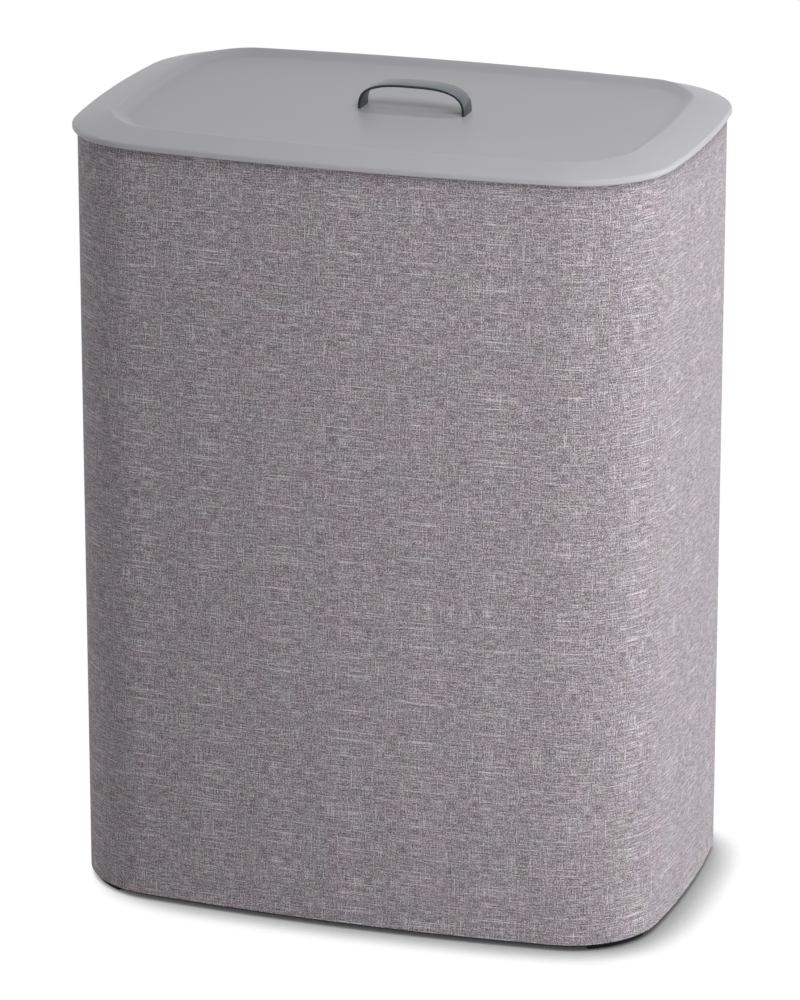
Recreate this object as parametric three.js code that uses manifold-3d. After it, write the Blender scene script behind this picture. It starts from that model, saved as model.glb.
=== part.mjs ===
import * as THREE from "three";
import { mergeVertices } from "three/addons/utils/BufferGeometryUtils.js";
import Module from "manifold-3d";

const wasm = await Module();
wasm.setup();

// Laundry hamper with a lift-off lid and two lift-out bags
// Millimetres, +X to the right, +Y to the back, +Z up, floor at zero

// Clearances
const seatGap = 0.3;
const cutOverrun = 1;
const joinTolerance = 0.01;

// Steps of an eased corner of a profile
const roundingSteps = 2;

// Plan of the case: bowed sides joined by round corners
const caseWidth = 500;
const caseDepth = 332;
const cornerRadius = 77;
const frontBow = 8.1;
const sideBow = 4.1;
const cornerSteps = 6;
const frontSteps = 4;
const sideSteps = 4;

// Wall of the case, from the outside in
const coverThickness = 1.2;
const coreThickness = 4;
const coreHeight = 635;
const liningThickness = 1;
const hemRounding = 0.9;

// Base tray, its board and its feet
const footHeight = 2.8;
const trayPlate = 1.6;
const trayEdgeInset = 3;
const upstandThickness = 2;
const upstandHeight = 26;
const trayRibHeight = 5;
const trayRibThickness = 2;
const trayCrossRibDrop = 0.4;
const trayLongRibs = 3;
const trayCrossRibs = 5;
const boardThickness = 3;
const boardClearance = 0.6;
const footInset = 4;
const footWidth = 14;
const footAngle = THREE.MathUtils.degToRad(40);
const footHalfAngle = THREE.MathUtils.degToRad(22);
const footSteps = 8;
const pegRadius = 3;
const pegHeadRadius = 4;
const pegHeadHeight = 1.8;
const pegClearance = 0.8;
const pegAngle = THREE.MathUtils.degToRad(13);
const pegSides = 8;

// Rim frame that binds the wall and carries the bags' hoops
const rimFlange = 2;
const rimEdgeInset = 0.6;
const rimLegThickness = 1.8;
const rimLegHeight = 32.3;
const ledgeWidth = 7;
const ledgeThickness = 2;

// Push rivets of the wall
const rivetRadius = 2.1;
const rivetHeadRadius = 4;
const rivetHeadHeight = 1.1;
const rivetBite = 2.6;
const rivetSides = 8;
const trayRivetRise = 17;
const rimRivetRise = 11.8;
const rivetArcShare = 0.25;

// Lid
const lidOverhang = 4.2;
const lipDrop = 3.1;
const lipHeight = 4.9;
const lipWall = 2.4;
const seatWidth = 5.8;
const crestInset = 20.4;
const crestSideShift = 6.5;
const crestCornerShift = 4.4;
const crestRise = 8.1;
const slopeRun = 3.6;
const slopeWallShift = 1;
const panelDrop = 5.1;
const lidWall = 2.6;
const panelMargin = 4;
const skirtClearance = 1.5;
const skirtThickness = 2;
const skirtDepth = 15;
const lipRounding = 0.8;
const edgeRounding = 2;
const crestRounding = 1.6;
const lidRibHeight = 5;
const lidRibThickness = 1.6;
const lidRibOffset = 62;
const lidCrossRibs = 5;
const lidCrossRibDrop = 0.6;

// Strap handle of the lid
const handleOffset = 9;
const strapSpan = 90;
const strapRise = 22.2;
const strapWidth = 21;
const strapThickness = 1.8;
const strapBevel = 0.4;
const strapLeg = 14;
const strapExponent = 3;
const strapSteps = 22;
const handleBlockWidth = 14;
const handleBlockDepth = 12;
const handleBlockWall = 2;
const handleBlockEnd = 10;
const handleBlockGap = 0.5;
const screwRadius = 1.6;
const screwLength = 10;
const screwHeadRadius = 3.4;
const screwHeadHeight = 2.2;
const screwHeadRounding = 0.8;
const screwDrop = 7;
const washerRadius = 4;
const washerThickness = 0.8;
const screwSides = 12;

// Bags
const bagFabric = 1.5;
const ledgeClearance = 1.1;
const bagTaper = 5;
const bagGap = 3;
const bagInnerCorner = 32;
const bagFloorRounding = 9;
const wireRadius = 2;
const wireSides = 6;
const hemSlitAngle = THREE.MathUtils.degToRad(60);
const hemOuterSteps = 8;
const hemInnerSteps = 5;
const bagCornerSteps = 5;
const bagFrontSteps = 3;
const bagSideSteps = 6;
const insertThickness = 2.5;

// Webbing carry loops and the sewn tabs that hold them
const webbingWidth = 28;
const webbingThickness = 1.8;
const loopWidth = 124;
const loopDrop = 100;
const loopCurveSteps = 6;
const tabHeight = 34;
const tabDrop = 1;
const tabRounding = 1.4;

// Materials
const finish = (color, roughness, metalness = 0) =>
  new THREE.MeshStandardMaterial({ color, roughness, metalness });
const wovenFabric = finish(0x9a9496, 0.95);
const fibreBoard = finish(0x8d7a62, 0.9);
const coatedLining = finish(0x3c3d40, 0.55);
const lidPlastic = finish(0xa3a2a6, 0.5);
const framePlastic = finish(0x5c5d61, 0.55);
const basePlastic = finish(0x17171a, 0.6);
const footRubber = finish(0x101012, 0.9);
const satinSteel = finish(0x82898d, 0.35, 0.9);
const platedSteel = finish(0xb4b6b8, 0.3, 1);
const bagCloth = finish(0xb9b6b4, 0.95);
const webbing = finish(0x4a4a4e, 0.85);

const group = new THREE.Group();

// Outlines

const halfTurn = Math.PI;
const quarterTurn = Math.PI / 2;
const cornerX = caseWidth / 2 - sideBow - cornerRadius;
const cornerY = caseDepth / 2 - frontBow - cornerRadius;

// Radius of a bowed side that runs tangent into both of its corner arcs
function bowRadius(bow, halfSpan) {
  return (2 * cornerRadius * bow + bow * bow + halfSpan * halfSpan) / (2 * bow);
}

const frontRadius = bowRadius(frontBow, cornerX);
const sideRadius = bowRadius(sideBow, cornerY);
const frontCentre = frontRadius - caseDepth / 2;
const sideCentre = sideRadius - caseWidth / 2;
const frontAngle = Math.asin(cornerX / (frontRadius - cornerRadius));
const sideAngle = Math.asin(cornerY / (sideRadius - cornerRadius));

// Place on an arc at a share of its sweep
function stationOn({ x, y, radius, from, to }, share) {
  const angle = from + (to - from) * share;
  return { x, y, radius, angle };
}

// Point of a station, moved inwards by the inset
function pointAt({ x, y, radius, angle }, inset) {
  const reach = radius - inset;
  return new THREE.Vector2(x + reach * Math.cos(angle), y + reach * Math.sin(angle));
}

// Places round a chain of arcs, where arcs that meet share one place
function stationsOf(arcs) {
  const stations = [];
  const isNew = (a, b) => !b || pointAt(a, 0).distanceTo(pointAt(b, 0)) > joinTolerance;
  for (const arc of arcs) {
    for (let k = 0; k <= arc.steps; k++) {
      const station = stationOn(arc, k / arc.steps);
      if (isNew(station, stations.at(-1)) && isNew(station, k > 0 ? stations[0] : null)) {
        stations.push(station);
      }
    }
  }
  return stations;
}

function arc(x, y, radius, from, to, steps) {
  return { x, y, radius, from, to, steps };
}

// Arc turned half round the middle of the case
function opposite({ x, y, radius, from, to, steps }) {
  return arc(-x, -y, radius, from + halfTurn, to + halfTurn, steps);
}

// Arc mirrored from the back to the front, still run anticlockwise
function mirrored({ x, y, radius, from, to, steps }) {
  return arc(x, -y, radius, -to, -from, steps);
}

const frontTurn = quarterTurn - frontAngle;
const rightSide = arc(-sideCentre, 0, sideRadius, -sideAngle, sideAngle, sideSteps);
const backRight = arc(cornerX, cornerY, cornerRadius, sideAngle, frontTurn, cornerSteps);
const backSide = arc(0, -frontCentre, frontRadius, frontTurn, halfTurn - frontTurn, frontSteps);
const backLeft = opposite(mirrored(backRight));
const leftSide = opposite(rightSide);
const frontSide = mirrored(backSide);
const casePlan = stationsOf([
  rightSide,
  backRight,
  backSide,
  backLeft,
  leftSide,
  opposite(backRight),
  frontSide,
  mirrored(backRight),
]);

// Solids

// Profile of [inset, height, rounding] corners, each eased over its rounding length
function eased(corners, closed = true) {
  const points = [];
  const count = corners.length;
  corners.forEach(([inset, height, rounding = 0], k) => {
    const corner = new THREE.Vector2(inset, height);
    const isEnd = !closed && (k === 0 || k === count - 1);
    if (!rounding || isEnd) {
      points.push(corner);
      return;
    }
    const toward = (other) =>
      new THREE.Vector2(other[0], other[1]).sub(corner).setLength(rounding).add(corner);
    const before = toward(corners[(k + count - 1) % count]);
    const after = toward(corners[(k + 1) % count]);
    points.push(...new THREE.QuadraticBezierCurve(before, corner, after).getPoints(roundingSteps));
  });
  return points;
}

// Skin of a profile carried round a plan, with the same number of points at every station
// The profile climbs on the outside and comes down on the inside
function sweepSkin(stations, profileAt, closed) {
  const profiles = stations.map(profileAt);
  const positions = stations.flatMap((station, k) =>
    profiles[k].flatMap((p) => {
      const place = pointAt(station, p.x);
      return [place.x, place.y, p.y];
    }),
  );
  const rows = profiles[0].length;
  const spans = closed ? rows : rows - 1;
  const at = (i, j) => (i % stations.length) * rows + (j % rows);
  const index = [];
  for (let i = 0; i < stations.length; i++) {
    for (let j = 0; j < spans; j++) {
      index.push(at(i, j), at(i + 1, j), at(i + 1, j + 1));
      index.push(at(i, j), at(i + 1, j + 1), at(i, j + 1));
    }
  }
  return { positions, index, at };
}

function geometryFrom(positions, index) {
  const geometry = new THREE.BufferGeometry();
  geometry.setAttribute("position", new THREE.Float32BufferAttribute(positions, 3));
  geometry.setIndex(index);
  return geometry;
}

// Ring with a closed section
function sweepRing(stations, profile) {
  const { positions, index } = sweepSkin(stations, () => profile, true);
  return geometryFrom(positions, index);
}

// Dish whose profile ends are closed by flat faces, the first below and the last above
function sweepDish(stations, profileAt) {
  const { positions, index, at } = sweepSkin(stations, profileAt, false);
  const contour = stations.map((station) => pointAt(station, profileAt(station)[0].x));
  const top = profileAt(stations[0]).length - 1;
  for (const [a, b, c] of THREE.ShapeUtils.triangulateShape(contour, [])) {
    index.push(at(a, 0), at(c, 0), at(b, 0));
    index.push(at(a, top), at(b, top), at(c, top));
  }
  return geometryFrom(positions, index);
}

// Flat plate with the plan's outline
function plate(stations, inset, thickness, bottom) {
  const shape = new THREE.Shape(stations.map((station) => pointAt(station, inset)));
  return new THREE.ExtrudeGeometry(shape, { depth: thickness, bevelEnabled: false })
    .translate(0, 0, bottom);
}

function box(sizeX, sizeY, bottom, top, x = 0, y = 0) {
  return new THREE.BoxGeometry(sizeX, sizeY, top - bottom).translate(x, y, (bottom + top) / 2);
}

// Turned piece from [radius, height] points, with its axis along +Z
function turned(points, sides) {
  const profile = points.map(([radius, height]) => new THREE.Vector2(radius, height));
  return new THREE.LatheGeometry(profile, sides).rotateX(quarterTurn);
}

// Rod along +Z, made wide enough for its flats to clear the stated radius
function rod(radius, bottom, top, sides) {
  const wide = radius / Math.cos(halfTurn / sides);
  return turned([[0, bottom], [wide, bottom], [wide, top], [0, top]], sides);
}

function solidOf(geometry) {
  const bare = geometry.clone();
  bare.deleteAttribute("normal");
  bare.deleteAttribute("uv");
  const merged = mergeVertices(bare);
  return new wasm.Manifold(
    new wasm.Mesh({
      numProp: 3,
      vertProperties: new Float32Array(merged.attributes.position.array),
      triVerts: new Uint32Array(merged.index.array),
    }),
  );
}

function geometryOf(solid) {
  const mesh = solid.getMesh();
  return geometryFrom(mesh.vertProperties, Array.from(mesh.triVerts));
}

// One body from a first geometry, what is joined to it, and what is cut away
function carved(geometry, joins, cuts = []) {
  let solid = solidOf(geometry);
  for (const join of joins) {
    solid = solid.add(solidOf(join));
  }
  for (const cut of cuts) {
    solid = solid.subtract(solidOf(cut));
  }
  return geometryOf(solid);
}

function addPiece(parent, name, geometry, material) {
  geometry.deleteAttribute("normal");
  const faceted = geometry.index ? geometry.toNonIndexed() : geometry;
  faceted.computeVertexNormals();
  const mesh = new THREE.Mesh(faceted, material);
  mesh.name = name;
  parent.add(mesh);
  return mesh;
}

// Levels, from the floor up

const trayBottom = footHeight + seatGap;
const trayTop = trayBottom + trayPlate;
const coverBottom = trayTop + seatGap;
const coreBottom = coverBottom + coverThickness + seatGap;
const coreTop = coreBottom + coreHeight;
const coverTop = coreTop + seatGap + coverThickness;
const rimBottom = coverTop + seatGap;
const rimTop = rimBottom + rimFlange;
const ledgeBottom = rimBottom - rimLegHeight;
const ledgeTop = ledgeBottom + ledgeThickness;
const boardBottom = trayTop + trayRibHeight + seatGap;
const bagBottom = boardBottom + boardThickness + seatGap;
const lidSeat = rimTop + seatGap;
const lipBottom = lidSeat - lipDrop;
const lidEdgeTop = lipBottom + lipHeight;
const crestTop = lidEdgeTop + crestRise;
const panelTop = crestTop - panelDrop;
const panelUnder = panelTop - lidWall;

// Insets, from the outside of the case in

const coreInset = coverThickness + seatGap;
const coreInner = coreInset + coreThickness;
const liningInset = coreInner + seatGap;
const liningInner = liningInset + liningThickness;
const frameInset = liningInner + seatGap;
const upstandInner = frameInset + upstandThickness;
const rimLegInner = frameInset + rimLegThickness;
const ledgeInner = rimLegInner + ledgeWidth;
const bagOuter = ledgeInner + ledgeClearance;
const bagInner = bagOuter + bagFabric;

// Push rivets: one row round the tray's upstand, one round the rim frame's leg

// They sit where the middles and the quarters of the sides fall
const rivetPlaces = [
  ["right", stationOn(rightSide, 1 / 2)],
  ["back_right", stationOn(backSide, rivetArcShare)],
  ["back_left", stationOn(backSide, 1 - rivetArcShare)],
  ["left", stationOn(leftSide, 1 / 2)],
  ["front_left", stationOn(frontSide, rivetArcShare)],
  ["front_right", stationOn(frontSide, 1 - rivetArcShare)],
];

// Turns a geometry that points along +Z to point out through the wall at a place
function throughWall(geometry, place, inset, height) {
  const seat = pointAt(place, inset);
  return geometry
    .rotateX(quarterTurn)
    .rotateZ(place.angle + quarterTurn)
    .translate(seat.x, seat.y, height);
}

const rivetReach = coreInner - rivetBite;

function rivetHoles(height, innerFace) {
  const length = innerFace + cutOverrun - rivetReach + seatGap;
  return rivetPlaces.map(([, place]) =>
    throughWall(
      rod(rivetRadius + seatGap, 0, length, rivetSides),
      place,
      innerFace + cutOverrun,
      height,
    ),
  );
}

function addRivets(row, height, innerFace) {
  const shank = innerFace + seatGap - rivetReach;
  for (const [name, place] of rivetPlaces) {
    const rivet = turned(
      [
        [0, -rivetHeadHeight],
        [rivetHeadRadius - rivetHeadHeight / 2, -rivetHeadHeight],
        [rivetHeadRadius, -rivetHeadHeight / 2],
        [rivetHeadRadius, 0],
        [rivetRadius, 0],
        [rivetRadius, shank],
        [0, shank],
      ],
      rivetSides,
    );
    throughWall(rivet, place, innerFace + seatGap, height);
    addPiece(group, `${row}_rivet_${name}`, rivet, basePlastic);
  }
}

const trayRivetHeight = trayTop + trayRivetRise;
const rimRivetHeight = ledgeTop + rimRivetRise;

// Wall of the case

const coverHem = coreInner;

addPiece(
  group,
  "outer_cover",
  sweepRing(
    casePlan,
    eased([
      [coverHem, coverBottom],
      [0, coverBottom, hemRounding],
      [0, coverTop, hemRounding],
      [coverHem, coverTop],
      [coverHem, coverTop - coverThickness],
      [coverThickness, coverTop - coverThickness],
      [coverThickness, coverBottom + coverThickness],
      [coverHem, coverBottom + coverThickness],
    ]),
  ),
  wovenFabric,
);

function wallTube(outer, inner, bottom, top) {
  return sweepRing(
    casePlan,
    eased([
      [inner, bottom],
      [outer, bottom],
      [outer, top],
      [inner, top],
    ]),
  );
}

const wallHoles = [
  ...rivetHoles(trayRivetHeight, upstandInner),
  ...rivetHoles(rimRivetHeight, rimLegInner),
];

addPiece(
  group,
  "wall_core",
  carved(wallTube(coreInset, coreInner, coreBottom, coreTop), [], wallHoles),
  fibreBoard,
);

addPiece(
  group,
  "inner_lining",
  carved(wallTube(liningInset, liningInner, trayTop + seatGap, coverTop), [], wallHoles),
  coatedLining,
);

// Rim frame

const rimSection = eased([
  [ledgeInner, ledgeBottom],
  [frameInset, ledgeBottom],
  [frameInset, rimBottom],
  [rimEdgeInset, rimBottom],
  [rimEdgeInset, rimTop],
  [rimLegInner, rimTop],
  [rimLegInner, ledgeTop],
  [ledgeInner, ledgeTop],
]);

addPiece(
  group,
  "rim_frame",
  carved(sweepRing(casePlan, rimSection), [], rivetHoles(rimRivetHeight, rimLegInner)),
  framePlastic,
);
addRivets("rim", rimRivetHeight, rimLegInner);

// Base tray with its stiffening ribs

// Ribs start inside the plate, and the cross ribs stop short of the board
const ribRoot = trayTop - trayPlate / 2;
const trayRibTop = trayTop + trayRibHeight;
const trayRibs = [];
for (let k = 1; k <= trayLongRibs; k++) {
  const y = (k / (trayLongRibs + 1) - 0.5) * (caseDepth - 2 * upstandInner);
  trayRibs.push(box(2 * cornerX, trayRibThickness, ribRoot, trayRibTop, 0, y));
}
for (let k = 1; k <= trayCrossRibs; k++) {
  const x = (k / (trayCrossRibs + 1) - 0.5) * (caseWidth - 2 * upstandInner);
  trayRibs.push(box(trayRibThickness, 2 * cornerY, ribRoot, trayRibTop - trayCrossRibDrop, x, 0));
}

// Corners of the case as [name, sign of x, sign of y]
const corners = [
  ["front_left", -1, -1],
  ["front_right", 1, -1],
  ["back_left", -1, 1],
  ["back_right", 1, 1],
];

// Two pegs on each foot, just inside the tray's upstand
const pegCircle = cornerRadius - upstandInner - pegClearance - pegHeadRadius;
const pegAngles = [footAngle - pegAngle, footAngle + pegAngle];

function pegPlace(angle) {
  return new THREE.Vector2(Math.cos(angle), Math.sin(angle))
    .multiplyScalar(pegCircle)
    .add(new THREE.Vector2(cornerX, cornerY));
}

const pegHoles = corners.flatMap(([, signX, signY]) =>
  pegAngles.map((angle) => {
    const place = pegPlace(angle);
    return rod(pegRadius + seatGap, trayBottom - cutOverrun, trayTop + cutOverrun, pegSides)
      .translate(signX * place.x, signY * place.y, 0);
  }),
);

addPiece(
  group,
  "base_tray",
  carved(
    sweepDish(casePlan, () =>
      eased(
        [
          [upstandInner + panelMargin, trayBottom],
          [trayEdgeInset, trayBottom],
          [trayEdgeInset, trayTop],
          [frameInset, trayTop],
          [frameInset, trayTop + upstandHeight],
          [upstandInner, trayTop + upstandHeight],
          [upstandInner, trayTop],
          [upstandInner + panelMargin, trayTop],
        ],
        false,
      ),
    ),
    trayRibs,
    [...pegHoles, ...rivetHoles(trayRivetHeight, upstandInner)],
  ),
  basePlastic,
);
addRivets("tray", trayRivetHeight, upstandInner);

addPiece(
  group,
  "base_board",
  plate(casePlan, upstandInner + boardClearance, boardThickness, boardBottom),
  fibreBoard,
);

// Crescent foot under a corner, held by two pegs pushed up through the tray

const crescentRadius = cornerRadius - footInset;
const crescent = new THREE.Shape();
crescent.absarc(0, 0, crescentRadius, footAngle - footHalfAngle, footAngle + footHalfAngle);
crescent.absarc(
  0,
  0,
  crescentRadius - footWidth,
  footAngle + footHalfAngle,
  footAngle - footHalfAngle,
  true,
);

const pegHeadBottom = trayTop + seatGap;
const footPegs = pegAngles.map((angle) => {
  const place = pegPlace(angle);
  return turned(
    [
      [0, footHeight / 2],
      [pegRadius, footHeight / 2],
      [pegRadius, pegHeadBottom],
      [pegHeadRadius, pegHeadBottom],
      [pegRadius, pegHeadBottom + pegHeadHeight],
      [0, pegHeadBottom + pegHeadHeight],
    ],
    pegSides,
  ).translate(place.x, place.y, 0);
});
const footPad = new THREE.ExtrudeGeometry(crescent, {
  depth: footHeight,
  bevelEnabled: false,
  curveSegments: footSteps / 2,
}).translate(cornerX, cornerY, 0);

for (const [name, signX, signY] of corners) {
  const foot = addPiece(group, `foot_${name}`, carved(footPad, footPegs), footRubber);
  foot.scale.set(signX, signY, 1);
}

// Lid

const lidEdge = -lidOverhang;
const lipInner = lidEdge + lipWall;
const seatInner = lipInner + seatWidth;
const skirtOuter = rimLegInner + skirtClearance;
const skirtInner = skirtOuter + skirtThickness;
const skirtBottom = lidSeat - skirtDepth;

// Section at a place, where the crest stands further in at the sides and the corners
function lidSection({ angle }) {
  const crest =
    crestInset + crestSideShift * Math.cos(angle) ** 2 + crestCornerShift * Math.sin(2 * angle) ** 2;
  const foot = crest + slopeRun;
  const underBand = (inset) =>
    lidEdgeTop + (crestRise * (inset - lidEdge)) / (crest - lidEdge) - lidWall;
  return eased(
    [
      [foot + panelMargin, panelUnder],
      [foot - slopeWallShift, panelUnder, crestRounding],
      [crest - slopeWallShift, underBand(crest - slopeWallShift), crestRounding],
      [skirtInner, underBand(skirtInner)],
      [skirtInner, skirtBottom],
      [skirtOuter, skirtBottom, lipRounding],
      [skirtOuter, underBand(skirtOuter)],
      [seatInner, underBand(seatInner)],
      [seatInner, lidSeat],
      [lipInner, lidSeat],
      [lipInner, lipBottom],
      [lidEdge, lipBottom, lipRounding],
      [lidEdge, lidEdgeTop, edgeRounding],
      [crest, crestTop, crestRounding],
      [foot, panelTop, crestRounding],
      [foot + panelMargin, panelTop],
    ],
    false,
  );
}

const ribTop = panelUnder + lidWall / 2;
const ribBottom = panelUnder - lidRibHeight;
const lidRibs = [-1, 1].map((side) =>
  box(2 * cornerX, lidRibThickness, ribBottom, ribTop, 0, side * lidRibOffset),
);
for (let k = 1; k <= lidCrossRibs; k++) {
  const x = (k / (lidCrossRibs + 1) - 0.5) * 2 * cornerX + handleOffset;
  lidRibs.push(box(lidRibThickness, 2 * lidRibOffset, ribBottom + lidCrossRibDrop, ribTop, x, 0));
}

// Block between the strap's legs, cored from below, that takes the screws
const strapInside = strapSpan - 2 * strapThickness;
const blockLength = strapInside - 2 * handleBlockGap;
const blockBottom = panelUnder - handleBlockDepth;
const screwHeight = panelUnder - screwDrop;
const handleBlock = box(blockLength, handleBlockWidth, blockBottom, ribTop, handleOffset);
const blockCore = box(
  blockLength - 2 * handleBlockEnd,
  handleBlockWidth - 2 * handleBlockWall,
  blockBottom - cutOverrun,
  panelUnder + seatGap,
  handleOffset,
);
const pilotHole = rod(
  screwRadius + seatGap,
  -strapSpan / 2,
  strapSpan / 2,
  screwSides,
)
  .rotateY(quarterTurn)
  .translate(handleOffset, 0, screwHeight);
const strapSlots = [-1, 1].map((side) =>
  box(
    strapThickness + 2 * seatGap,
    strapWidth + 2 * seatGap,
    ribBottom,
    panelTop + cutOverrun,
    handleOffset + (side * (strapInside + strapThickness)) / 2,
  ),
);

addPiece(
  group,
  "lid_panel",
  carved(
    sweepDish(casePlan, lidSection),
    [...lidRibs, handleBlock],
    [blockCore, pilotHole, ...strapSlots],
  ),
  lidPlastic,
);

// Strap handle: a flat bar bent to a squared arch, its legs through the lid

const strapOuter = [];
const strapInner = [];
for (let k = 0; k <= strapSteps; k++) {
  const angle = (halfTurn * k) / strapSteps;
  const power = 2 / strapExponent;
  const across = Math.sign(Math.cos(angle)) * Math.abs(Math.cos(angle)) ** power;
  const up = Math.abs(Math.sin(angle)) ** power;
  const point = new THREE.Vector2((across * strapSpan) / 2, up * strapRise);
  const normal = new THREE.Vector2(
    (Math.sign(across) * Math.abs(across) ** (strapExponent - 1)) / strapSpan,
    up ** (strapExponent - 1) / (2 * strapRise),
  ).setLength(strapThickness);
  strapOuter.push(point);
  strapInner.unshift(point.clone().sub(normal));
}
const legEnd = panelUnder - panelTop - strapLeg;
const strapShape = new THREE.Shape([
  new THREE.Vector2(strapSpan / 2, legEnd),
  ...strapOuter,
  new THREE.Vector2(-strapSpan / 2, legEnd),
  new THREE.Vector2(-strapInside / 2, legEnd),
  ...strapInner,
  new THREE.Vector2(strapInside / 2, legEnd),
]);
const strap = new THREE.ExtrudeGeometry(strapShape, {
  depth: strapWidth - 2 * strapBevel,
  bevelThickness: strapBevel,
  bevelSize: strapBevel,
  bevelOffset: -strapBevel,
  bevelSegments: 1,
})
  .rotateX(quarterTurn)
  .translate(handleOffset, strapWidth / 2 - strapBevel, panelTop);
const strapHole = rod(screwRadius + seatGap, -strapSpan, strapSpan, screwSides)
  .rotateY(quarterTurn)
  .translate(handleOffset, 0, screwHeight);
addPiece(group, "lid_handle", carved(strap, [], [strapHole]), satinSteel);

// Screws from outside the legs into the block, each on its washer

const washerFace = strapSpan / 2 + seatGap;
const headFace = washerFace + washerThickness + seatGap;
const screwProfile = [
  [0, -screwLength],
  [screwRadius, -screwLength + screwRadius],
  [screwRadius, 0],
  [screwHeadRadius, 0],
  [screwHeadRadius, screwHeadHeight - screwHeadRounding],
  [screwHeadRadius - screwHeadRounding, screwHeadHeight],
  [0, screwHeadHeight],
];
const washerProfile = [
  [screwRadius + seatGap, 0],
  [washerRadius, 0],
  [washerRadius, washerThickness],
  [screwRadius + seatGap, washerThickness],
  [screwRadius + seatGap, 0],
];

for (const [name, side] of [["left", -1], ["right", 1]]) {
  const fixing = new THREE.Group();
  fixing.position.set(handleOffset, 0, screwHeight);
  fixing.rotation.set(0, side * quarterTurn, 0);
  group.add(fixing);
  const screw = turned(screwProfile, screwSides).translate(0, 0, headFace);
  const washer = turned(washerProfile, screwSides).translate(0, 0, washerFace);
  addPiece(fixing, `handle_screw_${name}`, screw, platedSteel);
  addPiece(fixing, `handle_washer_${name}`, washer, platedSteel);
}

// Bags

const hemRadius = wireRadius + seatGap + bagFabric;
const hoopInset = bagInner - hemRadius;
const hoopHeight = ledgeTop + seatGap + hemRadius;
const hemOuterInset = hoopInset - hemRadius;

// Plan of the bag on the right: the case's outline cut off by a straight inner side
const dividerX = bagGap / 2 - hemOuterInset;
const innerRadius = bagInnerCorner + bagInner;
const innerX = dividerX + innerRadius;
const innerY = Math.sqrt((frontRadius - innerRadius) ** 2 - innerX ** 2) - frontCentre;
const innerTurn = Math.acos(innerX / (frontRadius - innerRadius));

const bagCorner = { ...backRight, steps: bagCornerSteps };
const bagBack = arc(0, -frontCentre, frontRadius, frontTurn, innerTurn, bagFrontSteps);
const bagInside = arc(innerX, innerY, innerRadius, innerTurn, halfTurn, bagCornerSteps);
const bagPlan = stationsOf([
  { ...rightSide, steps: bagSideSteps },
  bagCorner,
  bagBack,
  bagInside,
  mirrored(bagInside),
  mirrored(bagBack),
  mirrored(bagCorner),
]);

// Arc about the hoop in the section, from one turn to another, where zero faces into the bag
function hemArc(radius, from, to, steps) {
  const points = [];
  for (let k = 0; k <= steps; k++) {
    const angle = from + ((to - from) * k) / steps;
    points.push(
      new THREE.Vector2(hoopInset + radius * Math.cos(angle), hoopHeight + radius * Math.sin(angle)),
    );
  }
  return points;
}

const hemEnd = 2 * halfTurn - hemSlitAngle;

// The cloth climbs, rolls outwards over the hoop and comes down as the wall's inside
const bagSection = [
  ...eased(
    [
      [bagOuter + bagTaper + 2 * bagFloorRounding, bagBottom],
      [bagOuter + bagTaper, bagBottom, bagFloorRounding],
      [bagOuter, hoopHeight],
    ],
    false,
  ),
  ...hemArc(wireRadius + seatGap, 0, hemEnd, hemInnerSteps).slice(1),
  ...hemArc(hemRadius, hemEnd, 0, hemOuterSteps),
  ...eased(
    [
      [bagInner, hoopHeight],
      [bagInner + bagTaper, bagBottom + bagFabric, bagFloorRounding - bagFabric],
      [bagOuter + bagTaper + 2 * bagFloorRounding, bagBottom + bagFabric],
    ],
    false,
  ).slice(1),
];

const wireSection = [];
for (let k = 0; k < wireSides; k++) {
  const angle = (-2 * halfTurn * k) / wireSides;
  wireSection.push(
    new THREE.Vector2(hoopInset + wireRadius * Math.cos(angle), hoopHeight + wireRadius * Math.sin(angle)),
  );
}

// Extra inset of the tapered wall at a height
function taperAt(height) {
  return (bagTaper * (hoopHeight - height)) / (hoopHeight - bagBottom);
}

// The bag's board lies inside the rounding of its floor
const insertInset = bagInner + bagTaper + bagFloorRounding;

// Webbing loop in its own plane, hanging from its top edge
const loopShape = new THREE.Shape();
const loopHalf = loopWidth / 2;
const loopInside = loopHalf - webbingWidth;
const loopCentre = loopHalf - loopDrop;
loopShape.moveTo(-loopHalf, 0);
loopShape.absarc(0, loopCentre, loopHalf, halfTurn, 2 * halfTurn);
loopShape.lineTo(loopHalf, 0);
loopShape.lineTo(loopInside, 0);
loopShape.absarc(0, loopCentre, loopInside, 2 * halfTurn, halfTurn, true);
loopShape.lineTo(-loopInside, 0);

// Section of the strap end folded double for sewing
const tabThickness = 2 * webbingThickness;
const tabSection = eased([
  [0, -tabHeight],
  [tabThickness, -tabHeight],
  [tabThickness, 0, tabRounding],
  [0, 0, tabRounding],
]);

const tabOffset = loopHalf - webbingWidth / 2;
const tabTop = hoopHeight - hemRadius - tabDrop;
const wallInset = bagInner + taperAt(tabTop - tabHeight);

// Where the tabs sit on the outer wall, which is bowed, and on the inner one
const outerReach = sideRadius - wallInset;
const outerTurn = Math.asin(tabOffset / outerReach);
const walls = [
  { wall: "outer", x: outerReach * Math.cos(outerTurn) - sideCentre, inward: -1, turn: outerTurn },
  { wall: "inner", x: dividerX + wallInset, inward: 1, turn: 0 },
];

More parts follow.
